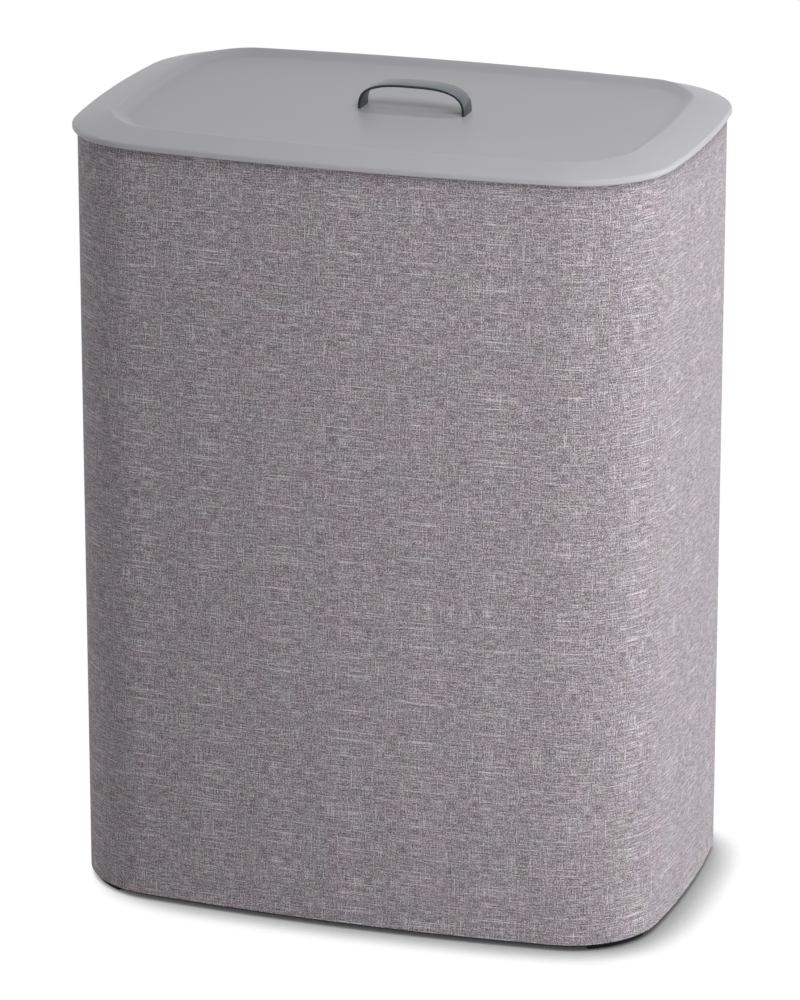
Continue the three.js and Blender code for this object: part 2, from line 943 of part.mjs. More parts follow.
// The bag on the left is the right one mirrored
for (const [name, side] of [["left", -1], ["right", 1]]) {
  const bag = new THREE.Group();
  bag.scale.x = side;
  group.add(bag);
  addPiece(bag, `${name}_bag_body`, sweepDish(bagPlan, () => bagSection), bagCloth);
  addPiece(bag, `${name}_bag_hoop`, sweepRing(bagPlan, wireSection), platedSteel);
  const insertBottom = bagBottom + bagFabric + seatGap;
  const insert = plate(bagPlan, insertInset, insertThickness, insertBottom);
  addPiece(bag, `${name}_bag_board`, insert, fibreBoard);

  for (const { wall, x, inward, turn } of walls) {
    for (const [end, along] of [["front", -1], ["back", 1]]) {
      const tab = new THREE.ExtrudeGeometry(new THREE.Shape(tabSection), {
        depth: webbingWidth,
        bevelEnabled: false,
      });
      tab.translate(seatGap, 0, -webbingWidth / 2).rotateX(quarterTurn);
      const holder = new THREE.Group();
      holder.position.set(x, along * tabOffset, tabTop);
      holder.rotation.z = (inward > 0 ? 0 : halfTurn) - along * inward * turn;
      bag.add(holder);
      addPiece(holder, `${name}_bag_tab_${wall}_${end}`, tab, webbing);
    }
    const tabReach = (seatGap + tabThickness) * Math.cos(turn) + (webbingWidth / 2) * Math.sin(turn);
    const loop = new THREE.ExtrudeGeometry(loopShape, {
      depth: webbingThickness,
      bevelEnabled: false,
      curveSegments: loopCurveSteps,
    });
    const middle = x + inward * (tabReach + seatGap + webbingThickness / 2);
    loop.rotateX(quarterTurn).rotateZ(quarterTurn).translate(middle - webbingThickness / 2, 0, tabTop);
    addPiece(bag, `${name}_bag_loop_${wall}`, loop, webbing);
  }
}

export default group;
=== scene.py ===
from math import acos, asin, atan2, copysign, cos, pi, radians, sin, sqrt

import bmesh
import bpy
from mathutils import Matrix, Vector, noise


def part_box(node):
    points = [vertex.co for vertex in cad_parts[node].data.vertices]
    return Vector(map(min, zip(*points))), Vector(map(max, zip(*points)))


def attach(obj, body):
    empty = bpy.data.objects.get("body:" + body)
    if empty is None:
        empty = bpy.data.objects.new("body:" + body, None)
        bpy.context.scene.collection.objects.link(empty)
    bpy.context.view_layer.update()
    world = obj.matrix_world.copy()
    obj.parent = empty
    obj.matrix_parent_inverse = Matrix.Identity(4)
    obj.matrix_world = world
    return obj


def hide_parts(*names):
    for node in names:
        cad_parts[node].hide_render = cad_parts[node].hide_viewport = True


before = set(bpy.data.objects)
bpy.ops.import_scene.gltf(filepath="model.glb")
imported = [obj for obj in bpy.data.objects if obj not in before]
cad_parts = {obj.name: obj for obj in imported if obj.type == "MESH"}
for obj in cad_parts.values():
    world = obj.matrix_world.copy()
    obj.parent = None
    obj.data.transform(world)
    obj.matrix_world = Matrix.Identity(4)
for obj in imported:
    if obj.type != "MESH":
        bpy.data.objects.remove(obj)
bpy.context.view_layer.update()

# Sizes are in millimetres, and each mesh is brought to metres when it is finished
mm = 0.001
hair = 0.01  # points closer than this are one
halfTurn = pi
quarterTurn = pi / 2


def levels(node):
    low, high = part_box(node)
    return low.z / mm, high.z / mm


# Plan of the case, as arcs that run anticlockwise

plan = {
    "width": 500, "depth": 332, "corner": 77, "frontBow": 8.1, "sideBow": 4.1,
    "cornerSteps": 22, "frontSteps": 26, "sideSteps": 16, "seamSteps": 4,
    "seamHalf": 6,  # half the lapped seam at the back of the cover
}
cornerX = plan["width"] / 2 - plan["sideBow"] - plan["corner"]
cornerY = plan["depth"] / 2 - plan["frontBow"] - plan["corner"]


def bowRadius(bow, halfSpan):
    return (2 * plan["corner"] * bow + bow**2 + halfSpan**2) / (2 * bow)


frontRadius = bowRadius(plan["frontBow"], cornerX)
sideRadius = bowRadius(plan["sideBow"], cornerY)
frontCentre = frontRadius - plan["depth"] / 2
sideCentre = sideRadius - plan["width"] / 2
frontTurn = quarterTurn - asin(cornerX / (frontRadius - plan["corner"]))
sideTurn = asin(cornerY / (sideRadius - plan["corner"]))


# An arc is (centre x, centre y, radius, start angle, turn, steps)
def opposite(arc):
    x, y, radius, start, turn, steps = arc
    return (-x, -y, radius, start + halfTurn, turn, steps)


def mirrored(arc):
    x, y, radius, start, turn, steps = arc
    return (x, -y, radius, -start - turn, turn, steps)


rightSide = (-sideCentre, 0, sideRadius, -sideTurn, 2 * sideTurn, plan["sideSteps"])
backRight = (cornerX, cornerY, plan["corner"], sideTurn, frontTurn - sideTurn, plan["cornerSteps"])
backSide = (0, -frontCentre, frontRadius, frontTurn, halfTurn - 2 * frontTurn, plan["frontSteps"])
seamTurn = plan["seamHalf"] / frontRadius
backHalf = (0, -frontCentre, frontRadius, quarterTurn + seamTurn,
            quarterTurn - frontTurn - seamTurn, plan["frontSteps"] // 2)
seamArc = (0, -frontCentre, frontRadius, quarterTurn, seamTurn, plan["seamSteps"])


# The same arc on the other side of the middle of the back
def acrossMiddle(arc):
    x, y, radius, start, turn, steps = arc
    return (-x, y, radius, halfTurn - start - turn, turn, steps)


# Starts and ends at the middle of the back, where the cover's seam is
caseArcs = [
    seamArc,
    backHalf,
    acrossMiddle(backRight),
    opposite(rightSide),
    opposite(backRight),
    mirrored(backSide),
    mirrored(backRight),
    rightSide,
    backRight,
    acrossMiddle(backHalf),
    acrossMiddle(seamArc),
]


def lengthOf(arcs):
    return sum(radius * turn for x, y, radius, start, turn, steps in arcs)


# Place, outward direction and forward direction at a length along the arcs
def placeAlong(arcs, along, inset, height):
    along = min(along, lengthOf(arcs) - hair)
    for x, y, radius, start, turn, steps in arcs:
        if along <= radius * turn:
            break
        along -= radius * turn
    angle = start + along / radius
    outward = Vector((cos(angle), sin(angle), 0))
    forward = Vector((-sin(angle), cos(angle), 0))
    return Vector((x, y, height)) + outward * (radius - inset), outward, forward


# Puts an object in the scene, from its data or from a bmesh
def addObject(name, data):
    if isinstance(data, bmesh.types.BMesh):
        bm, data = data, bpy.data.meshes.new(name)
        bm.to_mesh(data)
        bm.free()
    made = bpy.data.objects.new(name, data)
    bpy.context.scene.collection.objects.link(made)
    return made


def roundOff(bm, geom, rounding, segments, affect="VERTICES"):
    return bmesh.ops.bevel(bm, geom=geom, offset=rounding, segments=segments, profile=0.5,
                           affect=affect, material=-1)["faces"]


# Draws a section of (inset, height, rounding) corners at the start of the arcs
def drawSection(bm, arcs, corners, longest, segments):
    across = bm.verts.layers.float["across"]
    x, y, radius, start = arcs[0][:4]
    outward = Vector((cos(start), sin(start), 0))
    verts = [bm.verts.new(Vector((x, y, c[1])) + outward * (radius - c[0])) for c in corners]
    for pair in zip(verts, verts[1:]):
        bm.edges.new(pair)
    for vert, corner in zip(verts, corners):
        if len(corner) > 2:
            roundOff(bm, [vert], corner[2], segments)
    pending = list(bm.edges)
    while pending:
        edge = pending.pop()
        if edge.calc_length() > longest:
            pending += [edge, bmesh.utils.edge_split(edge, edge.verts[0], 0.5)[0]]
    # Lengths run from the first corner, for the cloth's own coordinates
    vert, edge, run = verts[0], None, 0
    while True:
        vert[across] = run
        onward = [e for e in vert.link_edges if e is not edge]
        if not onward:
            break
        edge = onward[0]
        run += edge.calc_length()
        vert = edge.other_vert(vert)


# Carries a section round the arcs, and gives the mesh a map in metres along and across
def sweep(arcs, corners, closed=True, longest=1e9, segments=5):
    bm = bmesh.new()
    along = bm.verts.layers.float.new("along")
    across = bm.verts.layers.float.new("across")
    weave = bm.loops.layers.uv.new("weave")
    drawSection(bm, arcs, corners + corners[:1] if closed else corners, longest, segments)
    last = bm.verts[:] + bm.edges[:]
    run = 0
    for x, y, radius, start, turn, steps in arcs:
        before = set(bm.verts)
        spun = bmesh.ops.spin(bm, geom=last, cent=(x, y, 0), axis=(0, 0, 1), angle=turn,
                              steps=steps, use_merge=False, use_duplicate=False)
        last = spun["geom_last"]
        for vert in set(bm.verts) - before:
            turned = (atan2(vert.co.y - y, vert.co.x - x) - start) % (2 * halfTurn)
            vert[along] = run + radius * turned
        run += radius * turn
    for face in bm.faces:
        for loop in face.loops:
            loop[weave].uv = (loop.vert[along] * mm, loop.vert[across] * mm)
    bmesh.ops.remove_doubles(bm, verts=bm.verts, dist=hair)
    if not closed:
        bmesh.ops.holes_fill(bm, edges=[e for e in bm.edges if e.is_boundary], sides=0)
    bmesh.ops.recalc_face_normals(bm, faces=bm.faces)
    return bm


def addBox(bm, size, centre, rounding=0, segments=2, turn=0):
    made = bmesh.ops.create_cube(bm, size=1)["verts"]
    bmesh.ops.scale(bm, vec=size, verts=made)
    if rounding:
        edges = list({e for v in made for e in v.link_edges})
        cut = roundOff(bm, edges, rounding, segments, "EDGES")
        made = list({v for f in cut for v in f.verts} | {v for v in made if v.is_valid})
    if turn:
        bmesh.ops.rotate(bm, cent=(0, 0, 0), matrix=Matrix.Rotation(turn, 3, "Z"), verts=made)
    bmesh.ops.translate(bm, vec=centre, verts=made)
    return made


# Turned piece from (radius, height) points about +Z, then set with its axis along a direction
def addTurned(bm, points, place, axis, steps=32, roundings=(), segments=4):
    verts = [bm.verts.new((radius, 0, height)) for radius, height in points]
    for pair in zip(verts, verts[1:]):
        bm.edges.new(pair)
    for index, rounding in roundings:
        roundOff(bm, [verts[index]], rounding, segments)
    chain = set()
    grow = {v for v in verts if v.is_valid}
    while grow:
        chain |= grow
        grow = {e.other_vert(v) for v in grow for e in v.link_edges} - chain
    outline = list(chain) + list({e for v in chain for e in v.link_edges})
    before = set(bm.verts) - chain
    bmesh.ops.spin(bm, geom=outline, cent=(0, 0, 0), axis=(0, 0, 1), angle=2 * halfTurn,
                   steps=steps, use_merge=True, use_duplicate=False)
    made = list(set(bm.verts) - before)
    bmesh.ops.remove_doubles(bm, verts=made, dist=hair)
    made = list(set(bm.verts) - before)
    bmesh.ops.recalc_face_normals(bm, faces=list({f for v in made for f in v.link_faces}))
    turn = Vector((0, 0, 1)).rotation_difference(Vector(axis)).to_matrix()
    bmesh.ops.rotate(bm, cent=(0, 0, 0), matrix=turn, verts=made)
    bmesh.ops.translate(bm, vec=place, verts=made)


# One stitch: a short rounded thread that lies on the cloth
def addStitch(bm, place, forward, length, thickness):
    turn = Vector((1, 0, 0)).rotation_difference(forward).to_matrix().to_4x4()
    size = Matrix.Diagonal((length / 2, thickness / 2, thickness / 2, 1))
    bmesh.ops.create_icosphere(bm, subdivisions=1, radius=1,
                               matrix=Matrix.Translation(place) @ turn @ size)


# Brings a mesh to metres and makes it a piece that rides on its body
def finishPiece(bm, name, material, body, replaced=(), sharpest=32, mirror=False):
    if mirror:
        bmesh.ops.scale(bm, vec=(-1, 1, 1), verts=bm.verts)
        bmesh.ops.reverse_faces(bm, faces=bm.faces)
    bmesh.ops.scale(bm, vec=(mm, mm, mm), verts=bm.verts)
    for face in bm.faces:
        face.smooth = True
    for edge in bm.edges:
        edge.smooth = edge.calc_face_angle(0) < radians(sharpest)
    piece = addObject(name, bm)
    piece.data.materials.append(material)
    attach(piece, body)
    if replaced:
        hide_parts(*replaced)
    return piece


# Materials

def linear(hexColour):
    channels = [((hexColour >> shift) & 255) / 255 for shift in (16, 8, 0)]
    return tuple(c / 12.92 if c <= 0.04045 else ((c + 0.055) / 1.055) ** 2.4
                 for c in channels) + (1,)


# Adds a node with its settings, and fills its inputs with values or links
def addNode(tree, kind, inputs=None, **settings):
    node = tree.nodes.new("ShaderNode" + kind)
    for name, value in settings.items():
        setattr(node, name, value)
    for socket, value in (inputs or {}).items():
        if isinstance(value, bpy.types.NodeSocket):
            tree.links.new(value, node.inputs[socket])
        else:
            node.inputs[socket].default_value = value
    return node.outputs


def startMaterial(name, **values):
    material = bpy.data.materials.new(name)
    material.use_nodes = True
    shader = material.node_tree.nodes["Principled BSDF"]
    for socket, value in values.items():
        shader.inputs[socket.replace("_", " ")].default_value = value
    return material, material.node_tree, shader


# Light and dark where the yarns of a cloth cross
def crossings(tree, uv, spacings):
    split = addNode(tree, "SeparateXYZ", {"Vector": uv})
    waves = []
    for axis, spacing in zip("XY", spacings):
        scaled = addNode(tree, "Math", {0: split[axis], 1: halfTurn / (spacing * mm)},
                         operation="MULTIPLY")["Value"]
        waves.append(addNode(tree, "Math", {0: scaled}, operation="SINE")["Value"])
    return addNode(tree, "Math", {0: waves[0], 1: waves[1]}, operation="MULTIPLY")["Value"]


# Passes from one colour to another as a pattern goes from low to high
def between(tree, pattern, low, high, first, second, most=1.0):
    share = addNode(tree, "MapRange", {
        "Value": pattern, "From Min": low, "From Max": high, "To Max": most})["Result"]
    return addNode(tree, "Mix", {0: share, 6: first, 7: second}, data_type="RGBA")[2]


# A colour that a pattern makes a little darker and lighter
def mottled(tree, hexColour, pattern, spread):
    dark, light = [tuple(c * k for c in linear(hexColour)[:3]) + (1,)
                   for k in (1 - spread, 1 + spread)]
    return between(tree, pattern, 0.0, 1.0, dark, light)


# Links a colour, and a pattern that stands in relief and may vary the roughness
def dress(tree, shader, colour, pattern, strength, depth, roughness=0.0, spread=0.0):
    tree.links.new(colour, shader.inputs["Base Color"])
    if spread:
        tree.links.new(addNode(tree, "MapRange", {
            "Value": pattern, "To Min": roughness - spread, "To Max": roughness + spread,
        })["Result"], shader.inputs["Roughness"])
    tree.links.new(addNode(tree, "Bump", {
        "Height": pattern, "Strength": strength, "Distance": depth * mm,
    })["Normal"], shader.inputs["Normal"])


# Cover: heathered plain weave of grey and mauve polyester yarns, spun uneven like linen, so that
# light slubs run both ways over a fine grain of crossings
def heatheredWeave():
    yarns = {
        "pitch": 1.1,  # the real 0.5 mm is too fine to show, so it is drawn coarser
        "weftLength": 10, "warpLength": 8, "weftSlub": 60, "warpSlub": 30, "slubWidth": 0.8,
        "patch": 26, "crossing": 0.05, "weft": 0.5, "warp": 0.34, "grain": 0.95, "slub": 0.32,
        "weftSlubs": (0.7, 0.8), "warpSlubs": (0.74, 0.84), "patches": (0.35, 0.65),
        "tones": (0.5, 1.39), "dark": 0x635B5F, "middle": 0x9E969C, "light": 0xD8D1D6,
        "relief": 0.5, "depth": 0.25,
    }
    pitch = yarns["pitch"]
    material, tree, shader = startMaterial("heatheredWeave", Roughness=0.92, Sheen_Weight=0.12,
                                           Sheen_Roughness=0.5, Specular_IOR_Level=0.25)
    uv = addNode(tree, "UVMap", uv_map="weave")["UV"]

    # Drawn-out noise, read at a place of its own so that no two patterns are alike
    def streaks(lengthAlong, lengthAcross, place, detail=0.0):
        mapped = addNode(tree, "Mapping", {
            "Vector": uv,
            "Location": (place, place, 0),
            "Scale": (1 / (lengthAlong * mm), 1 / (lengthAcross * mm), 1),
        })["Vector"]
        return addNode(tree, "TexNoise", {
            "Vector": mapped, "Scale": 1.0, "Detail": detail, "Roughness": 0.6,
        }, noise_dimensions="2D")["Fac"]

    parts = [
        (crossings(tree, uv, (pitch, pitch)), yarns["crossing"]),
        (streaks(yarns["weftLength"], pitch, 0), yarns["weft"]),
        (streaks(pitch, yarns["warpLength"], 40), yarns["warp"]),
        (streaks(pitch, pitch, 150), yarns["grain"]),
    ]
    # Slubs are the few brightest streaks
    for streak, (low, high) in (
        (streaks(yarns["weftSlub"], yarns["slubWidth"], 90), yarns["weftSlubs"]),
        (streaks(yarns["slubWidth"], yarns["warpSlub"], 120), yarns["warpSlubs"]),
    ):
        slub = addNode(tree, "MapRange", {
            "Value": streak, "From Min": low, "From Max": high})["Result"]
        parts.append((slub, yarns["slub"]))
    tone = 0.0
    for part, weight in parts:
        tone = addNode(tree, "Math", {0: part, 1: weight, 2: tone},
                       operation="MULTIPLY_ADD")["Value"]
    toned = addNode(tree, "MapRange", {
        "Value": tone, "From Min": yarns["tones"][0], "From Max": yarns["tones"][1]})["Result"]
    ramp = tree.nodes.new("ShaderNodeValToRGB")
    stops = ramp.color_ramp.elements
    stops[0].color = linear(yarns["dark"])
    stops[1].color = linear(yarns["light"])
    stops.new(0.5).color = linear(yarns["middle"])
    tree.links.new(toned, ramp.inputs["Fac"])
    # Faint patches of colour, as the yarns' dye varies
    colour = ramp.outputs["Color"]
    for place, low, high in ((210, 0xFCFFFD, 0xFFFCFE), (260, 0xFFFFFC, 0xFDFDFF)):
        tint = between(tree, streaks(yarns["patch"], yarns["patch"], place, 1.0),
                       *yarns["patches"], linear(low), linear(high))
        colour = addNode(tree, "Mix", {0: 1.0, 6: colour, 7: tint},
                         data_type="RGBA", blend_type="MULTIPLY")[2]
    dress(tree, shader, colour, tone, yarns["relief"], yarns["depth"])
    return material


# Mouldings of plastic and rubber: a satin spark-eroded skin of fine grain, with faint clouds of
# shade. On the lid a painted highlight makes the crest and the other convex edges a little paler
skin = {"cloud": 90, "shade": 0.03, "gloss": 0.05, "depth": 0.1, "highlightColour": 0xC8C8CC,
        "pointiness": (0.501, 0.514)}


def satinMoulding(name, hexColour, roughness, grain=0.7, strength=0.08, paintedHighlight=0.0):
    material, tree, shader = startMaterial(name, Roughness=roughness, IOR=1.49,
                                           Specular_IOR_Level=0.25)
    place = addNode(tree, "TexCoord")["Object"]
    fine, broad = [addNode(tree, "TexNoise", {
        "Vector": place, "Scale": 1 / (size * mm), "Detail": 2.0,
    })["Fac"] for size in (grain, skin["cloud"])]
    colour = mottled(tree, hexColour, broad, skin["shade"])
    # Painted highlight: convex edges, found by pointiness, are mixed towards a paler grey
    if paintedHighlight:
        colour = between(tree, addNode(tree, "NewGeometry")["Pointiness"],
                         *skin["pointiness"], colour, linear(skin["highlightColour"]), paintedHighlight)
    dress(tree, shader, colour, fine, strength, skin["depth"], roughness, skin["gloss"])
    return material


# Steel with fine lines along it, satin from brushing or dull from zinc plating. Faces that look
# front and back, a strip's edges among them, get a painted dark reflection
brushing = {"shade": 0.1, "gloss": 0.08, "strength": 0.15, "depth": 0.05,
            "darkReflectionFacing": (0.35, 0.75)}


def brushedSteel(name, hexColour, roughness, lineLength, lineWidth, edge=None):
    material, tree, shader = startMaterial(name, Metallic=1.0, Roughness=roughness)
    scale = [1 / (size * mm) for size in (lineLength, lineWidth, lineWidth)]
    mapped = addNode(tree, "Mapping", {
        "Vector": addNode(tree, "TexCoord")["Object"], "Scale": scale})["Vector"]
    lines = addNode(tree, "TexNoise", {
        "Vector": mapped, "Scale": 1.0, "Detail": 3.0, "Roughness": 0.6,
    })["Fac"]
    colour = mottled(tree, hexColour, lines, brushing["shade"])
    # Painted dark reflection: faces whose normal points front and back are mixed towards the edge
    # colour
    if edge:
        facing = addNode(tree, "NewGeometry")["Normal"]
        forward = addNode(tree, "SeparateXYZ", {"Vector": facing})["Y"]
        darkReflectionMask = addNode(tree, "Math", {0: forward}, operation="ABSOLUTE")["Value"]
        colour = between(tree, darkReflectionMask, *brushing["darkReflectionFacing"], colour, linear(edge))
    dress(tree, shader, colour, lines, brushing["strength"], brushing["depth"], roughness,
          brushing["gloss"])
    return material


# Pressed hardboard: brown fibres matted flat
def pressedHardboard():
    fibre = {"size": 2.4, "tangle": 1.2, "dark": 0x6B573F, "light": 0x9C8465,
             "tones": (0.35, 0.68), "relief": 0.3, "depth": 0.2}
    material, tree, shader = startMaterial("pressedHardboard", Roughness=0.85)
    fibres = addNode(tree, "TexNoise", {
        "Vector": addNode(tree, "TexCoord")["Object"], "Scale": 1 / (fibre["size"] * mm),
        "Detail": 4.0, "Distortion": fibre["tangle"],
    })["Fac"]
    colour = between(tree, fibres, *fibre["tones"], linear(fibre["dark"]),
                     linear(fibre["light"]))
    dress(tree, shader, colour, fibres, fibre["relief"], fibre["depth"])
    return material


# Cloth of even yarns woven one over one, for the bags, the lining and the webbing
yarn = {"length": 14, "crossing": 0.22, "relief": 0.5, "tones": (0.25, 0.75)}


def plainCloth(name, hexDark, hexLight, pitch, roughness, rib=1.0, depth=0.3, coat=0.0):
    material, tree, shader = startMaterial(name, Roughness=roughness, Coat_Weight=coat,
                                           Coat_Roughness=0.35, Sheen_Weight=0.08)
    uv = addNode(tree, "UVMap", uv_map="weave")["UV"]
    crossing = crossings(tree, uv, (pitch * rib, pitch))
    mapped = addNode(tree, "Mapping", {
        "Vector": uv, "Scale": (1 / (yarn["length"] * mm), 1 / (pitch * mm), 1)})["Vector"]
    uneven = addNode(tree, "TexNoise", {"Vector": mapped, "Scale": 1.0, "Detail": 2.0},
                     noise_dimensions="2D")["Fac"]
    tone = addNode(tree, "Math", {0: crossing, 1: yarn["crossing"], 2: uneven},
                   operation="MULTIPLY_ADD")["Value"]
    colour = between(tree, tone, *yarn["tones"], linear(hexDark), linear(hexLight))
    dress(tree, shader, colour, crossing, yarn["relief"], depth)
    return material


weaveOfCover = heatheredWeave()
# The lid's crest and convex edges carry a painted highlight
lidMoulding = satinMoulding("satinPolypropylene", 0xA3A2A7, 0.42, paintedHighlight=0.4)
frameMoulding = satinMoulding("mouldedPolypropylene", 0x5C5D61, 0.5)
baseMoulding = satinMoulding("blackPolypropylene", 0x17171A, 0.55)
footRubber = satinMoulding("softRubber", 0x101012, 0.85, 1.5, 0.2)
# The handle's faces that look front and back, its edges among them, get a painted dark reflection
handleSteel = brushedSteel("satinDarkSteel", 0x5F656A, 0.34, 40, 0.5, edge=0x454B4F)
platedSteel = brushedSteel("zincPlatedSteel", 0xB4B6B8, 0.32, 2, 2)
hardboard = pressedHardboard()
bagCloth = plainCloth("plainWovenPolyester", 0x9F9C9A, 0xC9C6C4, 1.3, 0.9)
liningCloth = plainCloth("coatedPolyester", 0x2E2F32, 0x46474A, 1.3, 0.6, coat=0.3)
loopWebbing = plainCloth("wovenWebbing", 0x37373B, 0x58585D, 2.0, 0.75, rib=0.6, depth=0.5)
seamThread = satinMoulding("sewingThread", 0xB7B2B4, 0.7)
darkThread = satinMoulding("webbingThread", 0x8A8A8E, 0.7)
print("materials made")

# Wall of the case

cover = {"thickness": 1.2, "hem": 5.5, "hemRounding": 0.9, "seamRise": 0.5, "seamEdge": 0.5,
         "stitch": 3.2, "stitchStep": 4.2, "thread": 0.6, "stitchInset": 4.4}
bottom, top = levels("outer_cover")
fabric = cover["thickness"]
coverShell = sweep(caseArcs, [
    (cover["hem"], bottom),
    (0, bottom, cover["hemRounding"]),
    (0, top, cover["hemRounding"]),
    (cover["hem"], top),
    (cover["hem"], top - fabric),
    (fabric, top - fabric),
    (fabric, bottom + fabric),
    (cover["hem"], bottom + fabric),
])
# The cloth laps over itself at the middle of the back
for vert in coverShell.verts:
    onSeam = abs(vert.co.x) < plan["seamHalf"] - cover["seamEdge"] and vert.co.y > 0
    if onSeam and vert.co.y > plan["depth"] / 2 - fabric / 2:
        vert.co.y += cover["seamRise"]
finishPiece(coverShell, "outerCover", weaveOfCover, "case", ["outer_cover"])

seam = bmesh.new()
surface = plan["depth"] / 2 + cover["seamRise"]
for row in (-cover["stitchInset"], cover["stitchInset"]):
    height = bottom + 2 * cover["stitchStep"]
    while height < top - cover["stitchStep"]:
        addStitch(seam, Vector((row, surface, height)), Vector((0, 0, 1)), cover["stitch"],
                  cover["thread"])
        height += cover["stitchStep"]
finishPiece(seam, "coverSeamStitching", seamThread, "case")

lining = {"outer": 5.8, "inner": 6.8}
bottom, top = levels("inner_lining")
liningShell = sweep(caseArcs, [
    (lining["outer"], bottom), (lining["outer"], top), (lining["inner"], top),
    (lining["inner"], bottom),
])
finishPiece(liningShell, "innerLining", liningCloth, "case", ["inner_lining"])
print("wall made")

# Rim frame with the ledge that carries the bags

rim = {"edge": 0.6, "legOuter": 7.1, "legInner": 8.9, "ledgeInner": 15.9, "flange": 2,
       "ledge": 2, "rounding": 0.5}
bottom, top = levels("rim_frame")
soft = rim["rounding"]
rimShell = sweep(caseArcs, [
    (rim["legOuter"], (bottom + top) / 2),
    (rim["legOuter"], top - rim["flange"]),
    (rim["edge"], top - rim["flange"], soft),
    (rim["edge"], top, 2 * soft),
    (rim["legInner"], top, 2 * soft),
    (rim["legInner"], bottom + rim["ledge"], soft),
    (rim["ledgeInner"], bottom + rim["ledge"], soft),
    (rim["ledgeInner"], bottom, soft),
    (rim["legOuter"], bottom, soft),
])
finishPiece(rimShell, "rimFrame", frameMoulding, "case", ["rim_frame"])
print("rim frame made")

# Base tray, its board and its feet

tray = {"edge": 3, "plate": 1.6, "upstandOuter": 7.1, "upstandInner": 9.1, "margin": 4,
        "rounding": 0.6}
bottom, top = levels("base_tray")
plateTop = bottom + tray["plate"]
soft = tray["rounding"]
trayShell = sweep(caseArcs, [
    (tray["upstandInner"] + tray["margin"], bottom),
    (tray["edge"], bottom, soft),
    (tray["edge"], plateTop, soft),
    (tray["upstandOuter"], plateTop),
    (tray["upstandOuter"], top, soft),
    (tray["upstandInner"], top, soft),
    (tray["upstandInner"], plateTop, soft),
    (tray["upstandInner"] + tray["margin"], plateTop),
], closed=False)
finishPiece(trayShell, "baseTray", baseMoulding, "case", ["base_tray"])

board = {"inset": 9.7, "margin": 6, "rounding": 0.6}


def boardPlate(arcs, inset, bottom, top):
    return sweep(arcs, [
        (inset + board["margin"], bottom),
        (inset, bottom, board["rounding"]),
        (inset, top, board["rounding"]),
        (inset + board["margin"], top),
    ], closed=False)


finishPiece(boardPlate(caseArcs, board["inset"], *levels("base_board")), "baseBoard", hardboard,
            "case", ["base_board"])

foot = {"inset": 4, "width": 14, "height": 2.8, "angle": 40, "halfAngle": 22, "rounding": 0.8,
        "steps": 20}
footArc = (cornerX, cornerY, plan["corner"], radians(foot["angle"] - foot["halfAngle"]),
           radians(2 * foot["halfAngle"]), foot["steps"])
inner = foot["inset"] + foot["width"]
cornerSigns = {"front_left": (-1, -1), "front_right": (1, -1), "back_left": (-1, 1),
               "back_right": (1, 1)}
for corner, (signX, signY) in cornerSigns.items():
    pad = sweep([footArc], [
        (foot["inset"] + foot["width"] / 2, foot["height"]),
        (foot["inset"], foot["height"]),
        (foot["inset"], 0, foot["rounding"]),
        (inner, 0, foot["rounding"]),
        (inner, foot["height"]),
    ])
    bmesh.ops.scale(pad, vec=(signX, signY, 1), verts=pad.verts)
    bmesh.ops.recalc_face_normals(pad, faces=pad.faces)
    finishPiece(pad, "foot" + corner.title().replace("_", ""), footRubber, "case",
                [f"foot_{corner}"])

# Push rivets through the tray's upstand and the rim frame's leg

rivet = {"radius": 4, "height": 1.1, "rounding": 0.5, "gap": 0.3}
rivetPlaces = {
    "right": (rightSide, 0.5),
    "back_right": (backSide, 0.25),
    "back_left": (backSide, 0.75),
    "left": (opposite(rightSide), 0.5),
    "front_left": (mirrored(backSide), 0.25),
    "front_right": (mirrored(backSide), 0.75),
}
for row, face in (("tray", tray["upstandInner"]), ("rim", rim["legInner"])):
    for side, (arc, share) in rivetPlaces.items():
        node = f"{row}_rivet_{side}"
        height = sum(levels(node)) / 2
        place, outward = placeAlong([arc], arc[2] * arc[4] * share, face, height)[:2]
        head = bmesh.new()
        addTurned(head, [(0, -rivet["gap"]), (rivet["radius"], -rivet["gap"]),
                         (rivet["radius"], rivet["height"]), (0, rivet["height"])],
                  place, -outward, roundings=[(2, rivet["rounding"])])
        finishPiece(head, row + "Rivet" + side.title().replace("_", ""), baseMoulding, "case",
                    [node])
print("base and rivets made")

# Lid

lid = {"overhang": 4.2, "seatGap": 0.3, "lipDrop": 3.1, "lipHeight": 4.9, "lipWall": 2.4,
       "seatWidth": 5.8, "crest": 20.4, "sideShift": 6.5, "cornerShift": 4.4, "backCorner": 1.5,
       "crestRise": 8.1, "slopeRun": 11, "panelDrop": 5.1, "wall": 2.6, "wallShift": 1,
       "margin": 6, "skirtOuter": 10.4, "skirtThickness": 2, "skirtDepth": 15,
       "skirtRounding": 0.8, "lipRounding": 1.5, "edgeRounding": 1.6, "crestRounding": 1.1,
       "slopeRounding": 3, "near": 0.1}
seat = levels("rim_frame")[1] + lid["seatGap"]
lipBottom = seat - lid["lipDrop"]
edgeTop = lipBottom + lid["lipHeight"]
crestTop = edgeTop + lid["crestRise"]
panelTop = crestTop - lid["panelDrop"]
panelUnder = panelTop - lid["wall"]
lidEdge = -lid["overhang"]
seatInner = lidEdge + lid["lipWall"] + lid["seatWidth"]
crest = lid["crest"]
slopeFoot = crest + lid["slopeRun"]
bandWidth = crest - lidEdge
skirtInner = lid["skirtOuter"] + lid["skirtThickness"]
skirtBottom = seat - lid["skirtDepth"]


# Height of the sloping band's underside at an inset
def underBand(inset):
    return edgeTop + lid["crestRise"] * (inset - lidEdge) / bandWidth - lid["wall"]


